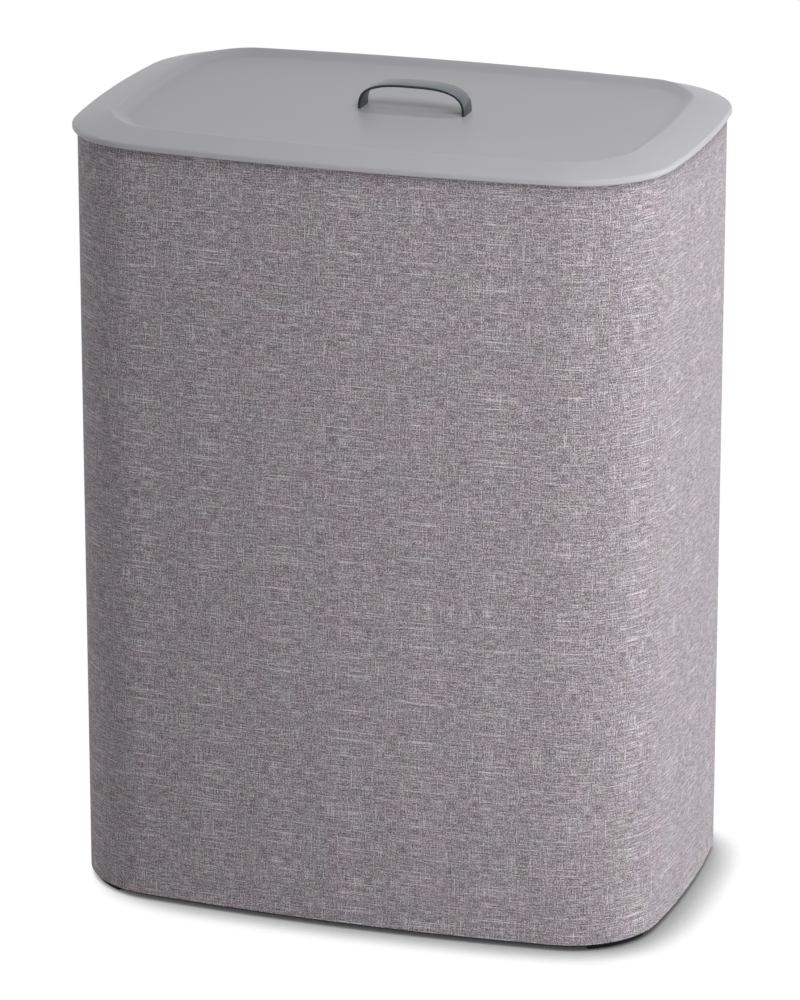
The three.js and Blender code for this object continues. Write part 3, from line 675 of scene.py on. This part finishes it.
lidShell = sweep(caseArcs, [
    (slopeFoot + lid["margin"], panelUnder),
    (slopeFoot - lid["wallShift"], panelUnder, lid["crestRounding"]),
    (crest - lid["wallShift"], underBand(crest - lid["wallShift"]), lid["crestRounding"]),
    (skirtInner, underBand(skirtInner)),
    (skirtInner, skirtBottom),
    (lid["skirtOuter"], skirtBottom, lid["skirtRounding"]),
    (lid["skirtOuter"], underBand(lid["skirtOuter"])),
    (seatInner, underBand(seatInner)),
    (seatInner, seat),
    (lidEdge + lid["lipWall"], seat),
    (lidEdge + lid["lipWall"], lipBottom),
    (lidEdge, lipBottom, lid["lipRounding"]),
    (lidEdge, edgeTop, lid["edgeRounding"]),
    (crest, crestTop, lid["crestRounding"]),
    (slopeFoot, panelTop, lid["slopeRounding"]),
    (slopeFoot + lid["margin"], panelTop),
], closed=False, segments=6)
# The crest stands further in at the sides and the corners, and the slope inside it follows
along = lidShell.verts.layers.float["along"]
for vert in lidShell.verts:
    spot, outward = placeAlong(caseArcs, vert[along], 0, vert.co.z)[:2]
    inset = (spot - vert.co).dot(outward)
    angle = atan2(outward.y, outward.x)
    shift = (lid["sideShift"] * cos(angle) ** 2
             + lid["cornerShift"] * sin(2 * angle) ** 2)
    share = min(max((inset - lidEdge) / bandWidth, 0), 1)
    # The lip is drawn in at the back corners
    if inset < 0 and outward.y > 0:
        vert.co -= outward * lid["backCorner"] * sin(2 * angle) ** 2
    if inset > skirtInner + lid["near"] or vert.co.z > underBand(inset) + lid["wall"] / 2:
        vert.co -= outward * shift * share
    elif vert.co.z > seat + lid["near"]:
        vert.co.z -= lid["crestRise"] * share * shift / (bandWidth + shift)
lidPiece = finishPiece(lidShell, "lidPanel", lidMoulding, "lid", ["lid_panel"])

handle = {"offset": 9, "span": 90, "rise": 22.2, "width": 21, "thickness": 2.1, "edge": 0.3,
          "edgeSteps": 3, "sharp": 60, "leg": 16.6, "exponent": 3, "steps": 96, "legSteps": 3,
          "slotGap": 0.3}
slots = bmesh.new()
for side in (-1, 1):
    middle = handle["offset"] + side * (handle["span"] - handle["thickness"]) / 2
    addBox(slots, (handle["thickness"] + 2 * handle["slotGap"],
                   handle["width"] + 2 * handle["slotGap"], 4 * lid["wall"]),
           (middle, 0, panelTop))
bmesh.ops.scale(slots, vec=(mm, mm, mm), verts=slots.verts)
cutter = addObject("strapSlots", slots)
cut = lidPiece.modifiers.new("strapSlots", "BOOLEAN")
cut.object = cutter
cut.solver = "EXACT"
bpy.context.view_layer.objects.active = lidPiece
bpy.ops.object.modifier_apply(modifier=cut.name)
bpy.data.objects.remove(cutter)

# Ribs and the cored block that takes the handle's screws, under the panel
ribs = {"height": 5, "thickness": 1.6, "rounding": 0.3, "offset": 62, "cross": 5,
        "crossDrop": 0.6, "sunk": 1.3, "blockGap": 0.5, "blockWidth": 14, "blockDepth": 12,
        "blockWall": 2, "blockEnd": 10}
underside = bmesh.new()
ribTop = panelUnder + ribs["sunk"]


def addRib(size, *centre):
    addBox(underside, size, centre, ribs["rounding"])


for side in (-1, 1):
    addRib((2 * cornerX, ribs["thickness"], ribs["height"] + ribs["sunk"]),
           0, side * ribs["offset"], (panelUnder - ribs["height"] + ribTop) / 2)
for k in range(1, ribs["cross"] + 1):
    x = (k / (ribs["cross"] + 1) - 0.5) * 2 * cornerX + handle["offset"]
    low = panelUnder - ribs["height"] + ribs["crossDrop"]
    addRib((ribs["thickness"], 2 * ribs["offset"], ribTop - low), x, 0, (low + ribTop) / 2)
blockLength = handle["span"] - 2 * handle["thickness"] - 2 * ribs["blockGap"]
blockHeight = ribs["blockDepth"] + ribs["sunk"]
blockMiddle = ribTop - blockHeight / 2
for side in (-1, 1):
    addRib((ribs["blockEnd"], ribs["blockWidth"], blockHeight),
           handle["offset"] + side * (blockLength - ribs["blockEnd"]) / 2, 0, blockMiddle)
    addRib((blockLength - ribs["blockEnd"], ribs["blockWall"], blockHeight),
           handle["offset"], side * (ribs["blockWidth"] - ribs["blockWall"]) / 2, blockMiddle)
finishPiece(underside, "lidRibs", lidMoulding, "lid")
print("lid made")

# Strap handle: flat steel bar bent to a squared arch

strap = bmesh.new()
path = []
half = handle["span"] / 2
for k in range(handle["legSteps"]):
    path.append((half, -handle["leg"] * (1 - k / handle["legSteps"])))
for k in range(handle["steps"] + 1):
    angle = halfTurn * k / handle["steps"]
    power = 2 / handle["exponent"]
    reach = copysign(abs(cos(angle)) ** power, cos(angle))
    path.append((reach * half, abs(sin(angle)) ** power * handle["rise"]))
path += [(-x, z) for x, z in path[:handle["legSteps"]][::-1]]
verts = [strap.verts.new((path[0][0], -handle["width"] / 2, panelTop + path[0][1]))]
for x, z in path[1:]:
    made = bmesh.ops.extrude_vert_indiv(strap, verts=verts[-1:])["verts"]
    made[0].co = (x, -handle["width"] / 2, panelTop + z)
    verts += made
wide = bmesh.ops.extrude_edge_only(strap, edges=strap.edges[:])["geom"]
bmesh.ops.translate(strap, vec=(0, handle["width"], 0),
                    verts=[g for g in wide if isinstance(g, bmesh.types.BMVert)])
bmesh.ops.recalc_face_normals(strap, faces=strap.faces)
strap.normal_update()
# The outer face follows the path, so the wall grows inwards
crown = max(strap.faces, key=lambda face: face.calc_center_median().z)
if crown.normal.z < 0:
    bmesh.ops.reverse_faces(strap, faces=strap.faces)
bmesh.ops.solidify(strap, geom=strap.faces[:], thickness=handle["thickness"])
bmesh.ops.recalc_face_normals(strap, faces=strap.faces)
sharp = [e for e in strap.edges if e.calc_face_angle(0) > radians(handle["sharp"])]
roundOff(strap, sharp, handle["edge"], handle["edgeSteps"], "EDGES")
bmesh.ops.translate(strap, vec=(handle["offset"], 0, 0), verts=strap.verts)
finishPiece(strap, "lidHandle", handleSteel, "lid", ["lid_handle"], sharpest=40)

fixing = {"washer": 4, "washerHole": 1.9, "washerThickness": 0.8, "washerRounding": 0.2,
          "gap": 0.3, "head": 3.4, "headHeight": 2.2, "socket": 1.4, "socketDepth": 1.2,
          "shank": 1.6, "length": 10, "rounding": 0.7}
for side, sign in (("left", -1), ("right", 1)):
    low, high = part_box(f"handle_washer_{side}")
    washerPlace = (low + high) / 2 / mm
    washer = bmesh.new()
    hole, edge, t = fixing["washerHole"], fixing["washer"], fixing["washerThickness"] / 2
    addTurned(washer, [(hole, -t), (edge, -t), (edge, t), (hole, t), (hole, -t)], washerPlace,
              (sign, 0, 0), roundings=[(2, fixing["washerRounding"])], segments=2)
    finishPiece(washer, f"handleWasher{side.title()}", platedSteel, "lid",
                [f"handle_washer_{side}"])
    screw = bmesh.new()
    face = washerPlace + Vector((sign * (t + fixing["gap"]), 0, 0))
    headTop = fixing["headHeight"]
    addTurned(screw, [
        (0, headTop - fixing["socketDepth"]),
        (fixing["socket"], headTop - fixing["socketDepth"]),
        (fixing["socket"], headTop),
        (fixing["head"], headTop),
        (fixing["head"], 0),
        (fixing["shank"], 0),
        (fixing["shank"], -fixing["length"] + fixing["shank"]),
        (0, -fixing["length"]),
    ], face, (sign, 0, 0), roundings=[(3, fixing["rounding"])])
    finishPiece(screw, f"handleScrew{side.title()}", platedSteel, "lid",
                [f"handle_screw_{side}"])
print("handle made")

# Bags: hemmed over a wire hoop, with a stiff board in the floor

bag = {"outer": 17, "fabric": 1.5, "taper": 5, "gap": 3, "innerCorner": 32, "floorRounding": 9,
       "wireRadius": 2, "wireGap": 0.3, "slit": 60, "rollSteps": 14, "longest": 14,
       "straight": 20000,  # radius of an arc that passes for a straight line
       "sideSteps": 10, "cornerSteps": 18, "frontSteps": 12, "innerSteps": 14, "midSteps": 20,
       "belly": 2.1, "swell": 0.4, "swellSize": (70, 70, 150), "fullness": 0.7,
       "fold": 0.5, "foldSize": (16, 16, 170), "foldBottom": 32, "foldTop": 572,
       "stitch": 3.4, "stitchStep": 4.6, "thread": 0.6, "hemStitch": 9}
bagInner = bag["outer"] + bag["fabric"]
hemRadius = bag["wireRadius"] + bag["wireGap"] + bag["fabric"]
hoopInset = bagInner - hemRadius
hoopHeight = sum(levels("right_bag_hoop")) / 2
bagBottom = levels("right_bag_body")[0]
dividerX = bag["gap"] / 2 - hoopInset + hemRadius
innerRadius = bag["innerCorner"] + bagInner
innerX = dividerX + innerRadius
innerY = sqrt((frontRadius - innerRadius) ** 2 - innerX**2) - frontCentre
innerTurn = acos(innerX / (frontRadius - innerRadius))
dividerTurn = asin(innerY / bag["straight"])
halfBag = [
    (-sideCentre, 0, sideRadius, 0, sideTurn, bag["sideSteps"]),
    (cornerX, cornerY, plan["corner"], sideTurn, frontTurn - sideTurn, bag["cornerSteps"]),
    (0, -frontCentre, frontRadius, frontTurn, innerTurn - frontTurn, bag["frontSteps"]),
    (innerX, innerY, innerRadius, innerTurn, halfTurn - innerTurn, bag["innerSteps"]),
]
divider = (dividerX + bag["straight"], 0, bag["straight"], halfTurn - dividerTurn,
           2 * dividerTurn, bag["midSteps"])
bagArcs = halfBag + [divider] + [mirrored(arc) for arc in halfBag[::-1]]


# Extra inset of the tapered wall at a height
def taperAt(height):
    return bag["taper"] * (hoopHeight - height) / (hoopHeight - bagBottom)


def rollPoints(radius, start, end):
    steps = bag["rollSteps"]
    angles = [start + (end - start) * k / steps for k in range(steps + 1)]
    return [(hoopInset + radius * cos(a), hoopHeight + radius * sin(a)) for a in angles]


slitAngle = 2 * halfTurn - radians(bag["slit"])
floorInset = bag["outer"] + bag["taper"] + 2 * bag["floorRounding"]
bagSection = [
    (floorInset, bagBottom),
    (bag["outer"] + bag["taper"], bagBottom, bag["floorRounding"]),
    *rollPoints(hemRadius - bag["fabric"], 0, slitAngle),
    *rollPoints(hemRadius, slitAngle, 0),
    (bagInner + bag["taper"], bagBottom + bag["fabric"], bag["floorRounding"] - bag["fabric"]),
    (floorInset, bagBottom + bag["fabric"]),
]


def bagBody():
    shell = sweep(bagArcs, bagSection, closed=False, longest=bag["longest"], segments=6)
    along = shell.verts.layers.float["along"]
    # Slack cloth bellies out between the hoop and the floor, in soft upright folds
    for vert in shell.verts:
        share = (vert.co.z - bag["foldBottom"]) / (bag["foldTop"] - bag["foldBottom"])
        if 0 < share < 1:
            outward = placeAlong(bagArcs, vert[along], 0, 0)[1]
            swell, crease = [
                noise.noise(Vector([at / size for at, size in zip(vert.co, bag[key])]))
                for key in ("swellSize", "foldSize")]
            push = (bag["belly"] * (1 - bag["swell"] + bag["swell"] * swell)
                    + bag["fold"] * crease)
            vert.co += outward * push * sin(halfTurn * share) ** bag["fullness"]
    return shell


def hemStitches():
    stitches = bmesh.new()
    height = hoopHeight - bag["hemStitch"]
    inset = bagInner + taperAt(height)
    count = int(lengthOf(bagArcs) / bag["stitchStep"])
    for k in range(count):
        place, outward, forward = placeAlong(bagArcs, k * lengthOf(bagArcs) / count, inset, height)
        addStitch(stitches, place, forward, bag["stitch"], bag["thread"])
    return stitches


# Webbing carry loops and the tabs that hold them

webbing = {"width": 28, "thickness": 1.8, "loopWidth": 124, "drop": 100, "tabHeight": 34,
           "tabDrop": 1, "gap": 0.3, "plyGap": 0.05, "rounding": 0.7, "boxMargin": 4,
           "boxTop": 6, "foldRadius": 2.2, "foldRounding": 0.6, "foldSteps": 20,
           "turnSteps": 28, "legSteps": 4, "stitch": 2.8, "stitchStep": 4, "stitchInset": 3,
           "stitchRise": 0.3, "thread": 0.7}
webbingHalf = webbing["width"] / 2
loopRadius = webbing["loopWidth"] / 2 - webbingHalf
legLength = webbing["drop"] - webbing["loopWidth"] / 2
tabTop = hoopHeight - hemRadius - webbing["tabDrop"]
tabInset = bagInner + taperAt(tabTop - webbing["tabHeight"])
tabDepth = webbing["gap"] + 2 * webbing["thickness"]
outerReach = sideRadius - tabInset
outerTurn = asin(loopRadius / outerReach)


def webbingLoop(middle):
    far = bag["straight"]
    legTurn = legLength / far
    arcs = [
        (far - loopRadius, 0, far, halfTurn, legTurn, webbing["legSteps"]),
        (0, -legLength, loopRadius, halfTurn, halfTurn, webbing["turnSteps"]),
        (loopRadius - far, -legLength, far, 0, legTurn, webbing["legSteps"]),
    ]
    w, t, r = webbingHalf, webbing["thickness"] / 2, webbing["rounding"]
    loop = sweep(arcs, [(0, t), (-w, t, r), (-w, -t, r), (w, -t, r), (w, t, r)])
    stand = Matrix(((0, 0, 1), (1, 0, 0), (0, 1, 0)))
    bmesh.ops.rotate(loop, cent=(0, 0, 0), matrix=stand, verts=loop.verts)
    bmesh.ops.translate(loop, vec=(middle, 0, tabTop), verts=loop.verts)
    return loop


# Rows of stitches along both edges of a loop, right through the webbing
def loopStitches(middle):
    stitches = bmesh.new()
    turnLength = halfTurn * loopRadius
    total = turnLength + 2 * legLength
    for row in (-1, 1):
        radius = loopRadius + row * (webbingHalf - webbing["stitchInset"])
        count = int((turnLength * radius / loopRadius + 2 * legLength) / webbing["stitchStep"])
        for k in range(1, count):
            run = total * k / count
            angle = halfTurn + min(max((run - legLength) / loopRadius, 0), halfTurn)
            low = -legLength
            if run < legLength:
                low = -run
            elif run > legLength + turnLength:
                low = run - total
            place = Vector((middle, radius * cos(angle),
                            tabTop + low + radius * sin(angle)))
            through, forward = Vector((1, 0, 0)), Vector((0, -sin(angle), cos(angle)))
            turn = Matrix((through, forward, forward.cross(through)))
            size = Matrix.Diagonal((webbing["thickness"] / 2 + webbing["stitchRise"],
                                    webbing["stitch"] / 2, webbing["thread"] / 2, 1))
            bmesh.ops.create_icosphere(
                stitches, subdivisions=1, radius=1,
                matrix=Matrix.Translation(place) @ turn.transposed().to_4x4() @ size)
    return stitches


def addTab(bm, stitches, place, inward):
    turn = atan2(inward.y, inward.x)
    plies = []
    for ply in (0, 1):
        plies += addBox(bm, (webbing["thickness"] - webbing["plyGap"], webbing["width"],
                             webbing["tabHeight"]),
                        (webbing["gap"] + webbing["thickness"] * (ply + 0.5), 0,
                         -webbing["tabHeight"] / 2), webbing["rounding"], 3)
    matrix = Matrix.Translation(place) @ Matrix.Rotation(turn, 4, "Z")
    bmesh.ops.transform(bm, matrix=matrix, verts=plies)
    # A box of stitches with its diagonals
    side = webbingHalf - webbing["boxMargin"]
    low = -webbing["tabHeight"] + webbing["boxMargin"]
    high = -webbing["boxTop"]
    corners = [(-side, low), (side, low), (side, high), (-side, high)]
    lines = list(zip(corners, corners[1:] + corners[:1])) + [
        (corners[0], corners[2]), (corners[1], corners[3])]
    for (ay, az), (by, bz) in lines:
        start, end = Vector((tabDepth, ay, az)), Vector((tabDepth, by, bz))
        count = int((end - start).length / webbing["stitchStep"])
        forward = matrix.to_3x3() @ (end - start).normalized()
        for k in range(count):
            spot = matrix @ start.lerp(end, (k + 0.5) / count)
            addStitch(stitches, spot, forward, webbing["stitch"], webbing["thread"])


# The pieces are those of the right bag, and the left bag mirrors them
def addBagPiece(bm, side, name, material, nodes=(), body=None, sharpest=32):
    finishPiece(bm, f"{side}Bag{name}", material, body or f"{side}_bag", nodes, sharpest,
                mirror=side == "left")


for side in ("left", "right"):
    addBagPiece(bagBody(), side, "Body", bagCloth, [f"{side}_bag_body"],
                sharpest=60)
    addBagPiece(hemStitches(), side, "HemStitching", seamThread)
    insert = bagInner + bag["taper"] + bag["floorRounding"]
    addBagPiece(boardPlate(bagArcs, insert, *levels(f"{side}_bag_board")), side, "Board",
                hardboard, [f"{side}_bag_board"])
    for wall, inwardSign in (("outer", -1), ("inner", 1)):
        tabs, stitches = bmesh.new(), bmesh.new()
        weave = tabs.loops.layers.uv.new("weave")
        for end in (-1, 1):
            if wall == "outer":
                inward = -Vector((cos(outerTurn), end * sin(outerTurn), 0))
                x = outerReach * cos(outerTurn) - sideCentre
            else:
                inward = Vector((1, 0, 0))
                x = dividerX + tabInset
            addTab(tabs, stitches, Vector((x, end * loopRadius, tabTop)), inward)
        turn = outerTurn if wall == "outer" else 0
        reach = tabDepth * cos(turn) + webbingHalf * sin(turn)
        middle = x + inwardSign * (reach + webbing["gap"] + webbing["thickness"] / 2)
        # The fold that the loop swings about
        fold = x + inwardSign * (reach + webbing["gap"] / 2)
        radius = webbing["foldRadius"]
        for end in (-1, 1):
            addTurned(tabs, [(0, -webbingHalf), (radius, -webbingHalf), (radius, webbingHalf),
                             (0, webbingHalf)],
                      Vector((fold, end * loopRadius, tabTop)), (0, 1, 0),
                      steps=webbing["foldSteps"], segments=3,
                      roundings=[(corner, webbing["foldRounding"]) for corner in (1, 2)])
        for face in tabs.faces:
            for corner in face.loops:
                corner[weave].uv = (corner.vert.co.z * mm, corner.vert.co.y * mm)
        place, loopBody = wall.title(), f"{side}_{wall}_loop"
        addBagPiece(tabs, side, f"Tabs{place}", loopWebbing,
                    [f"{side}_bag_tab_{wall}_{end}" for end in ("front", "back")])
        addBagPiece(stitches, side, f"TabStitching{place}", darkThread)
        addBagPiece(webbingLoop(middle), side, f"Loop{place}", loopWebbing,
                    [f"{side}_bag_loop_{wall}"], loopBody)
        addBagPiece(loopStitches(middle), side, f"LoopStitching{place}", darkThread,
                    body=loopBody)
print("bags made")

# CAD pieces that show as they are, in their own materials

for node, material in (
    ("wall_core", hardboard),
    ("left_bag_hoop", platedSteel),
    ("right_bag_hoop", platedSteel),
):
    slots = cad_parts[node].data.materials
    slots.clear()
    slots.append(material)

# Floor, light and camera

studio = {"floor": 14000, "floorColour": 0xE6E6E6, "floorGrey": 0.03, "shadowReach": 60,
          "shadowLean": (-0.45, 0.35, 0.82), "darkest": 0.07, "clear": 0.67,
          "shadowPower": 2.2, "samples": 16, "roomLight": 0.08, "lampAim": 0.35}
floorMesh = bmesh.new()
bmesh.ops.create_grid(floorMesh, x_segments=1, y_segments=1, size=studio["floor"] * mm / 2)
floor = addObject("floor", floorMesh)


# Rays that look at the backdrop, straight, in a gloss or through a clear piece
def lookingRays(tree):
    ray = addNode(tree, "LightPath")
    seen = ray["Is Camera Ray"]
    for other in ("Is Glossy Ray", "Is Transmission Ray"):
        seen = addNode(tree, "Math", {0: seen, 1: ray[other]}, operation="MAXIMUM")["Value"]
    return seen


# White paper, with the soft shadow that the object leaves on it
def paperFloor():
    material, tree, shader = startMaterial("paperFloor", Roughness=0.9)
    shader.inputs["Base Color"].default_value = linear(studio["floorColour"])
    # The shadow falls to the front and the right, away from the light behind the left
    lean = addNode(tree, "CombineXYZ", dict(zip("XYZ", studio["shadowLean"])))["Vector"]
    near = addNode(tree, "AmbientOcclusion", {
        "Distance": studio["shadowReach"] * mm, "Normal": lean}, samples=studio["samples"])["AO"]
    shade = addNode(tree, "MapRange", {
        "Value": near, "From Min": 0.0, "From Max": studio["clear"],
        "To Min": studio["darkest"], "To Max": 1.0})["Result"]
    shade = addNode(tree, "Math", {0: shade, 1: studio["shadowPower"]},
                    operation="POWER")["Value"]
    white = addNode(tree, "Emission", {"Strength": shade})["Emission"]
    grey = addNode(tree, "BsdfDiffuse", {"Color": (*[studio["floorGrey"]] * 3, 1)})["BSDF"]
    seen = addNode(tree, "AddShader", {0: white, 1: grey})["Shader"]
    mixed = addNode(tree, "MixShader", {
        0: lookingRays(tree), 1: shader.outputs["BSDF"], 2: seen})["Shader"]
    tree.links.new(mixed, tree.nodes["Material Output"].inputs["Surface"])
    return material


floor.data.materials.append(paperFloor())

world = bpy.data.worlds.new("studio")
bpy.context.scene.world = world
world.use_nodes = True
room = world.node_tree
strength = addNode(room, "MapRange", {
    "Value": lookingRays(room), "To Min": studio["roomLight"], "To Max": 1.0})["Result"]
room.links.new(strength, room.nodes["Background"].inputs["Strength"])
room.nodes["Background"].inputs["Color"].default_value = (1, 1, 1, 1)

# Soft lamps round the object: azimuth from the front towards the right in degrees, distance and
# height in metres, width and height of the lamp, and power in watts
lamps = {
    "highFront": (35, 2.0, 2.35, (0.6, 0.6), 18.5),
    "keyFront": (45, 1.0, 0.35, (0.5, 0.9), 3.35),
    "sideBack": (120, 4.0, 0.45, (0.4, 0.8), 79),
    "topBack": (153, 1.2, 2.63, (0.2, 0.2), 13),
    "topRight": (55, 0.9, 1.64, (0.5, 0.6), 7),
    "leftBack": (-95, 1.8, 0.83, (0.4, 0.6), 8),
}
for name, (turn, distance, height, size, power) in lamps.items():
    data = bpy.data.lights.new(name, "AREA")
    data.shape = "RECTANGLE"
    data.size, data.size_y = size
    data.energy = power
    light = addObject(name, data)
    angle = radians(turn)
    light.location = (distance * sin(angle), -distance * cos(angle), height)
    aim = Vector((0, 0, studio["lampAim"])) - light.location
    light.rotation_euler = aim.to_track_quat("-Z", "Y").to_euler()

# The photograph's camera, fitted to the outline of the case and the lid
camera = {"azimuth": 17.84, "elevation": 18.63, "distance": 4582.5, "right": -3.33, "up": -3.83,
          "aim": 320.86, "focal": 5543.4, "frameHeight": 1000, "sensor": 36}
azimuth, elevation = radians(camera["azimuth"]), radians(camera["elevation"])
back = Vector((sin(azimuth) * cos(elevation),
               -cos(azimuth) * cos(elevation), sin(elevation)))
right = Vector((cos(azimuth), sin(azimuth), 0))
up = back.cross(right)
cameraData = bpy.data.cameras.new("camera")
cameraData.sensor_width = camera["sensor"]
cameraData.lens = camera["focal"] / camera["frameHeight"] * cameraData.sensor_width
cameraObject = addObject("camera", cameraData)
cameraObject.location = (Vector((0, 0, camera["aim"])) + back * camera["distance"]
                         + right * camera["right"] + up * camera["up"]) * mm
cameraObject.rotation_euler = (-back).to_track_quat("-Z", "Y").to_euler()
bpy.context.scene.camera = cameraObject
bpy.context.scene.view_settings.view_transform = "Standard"
print("studio made")
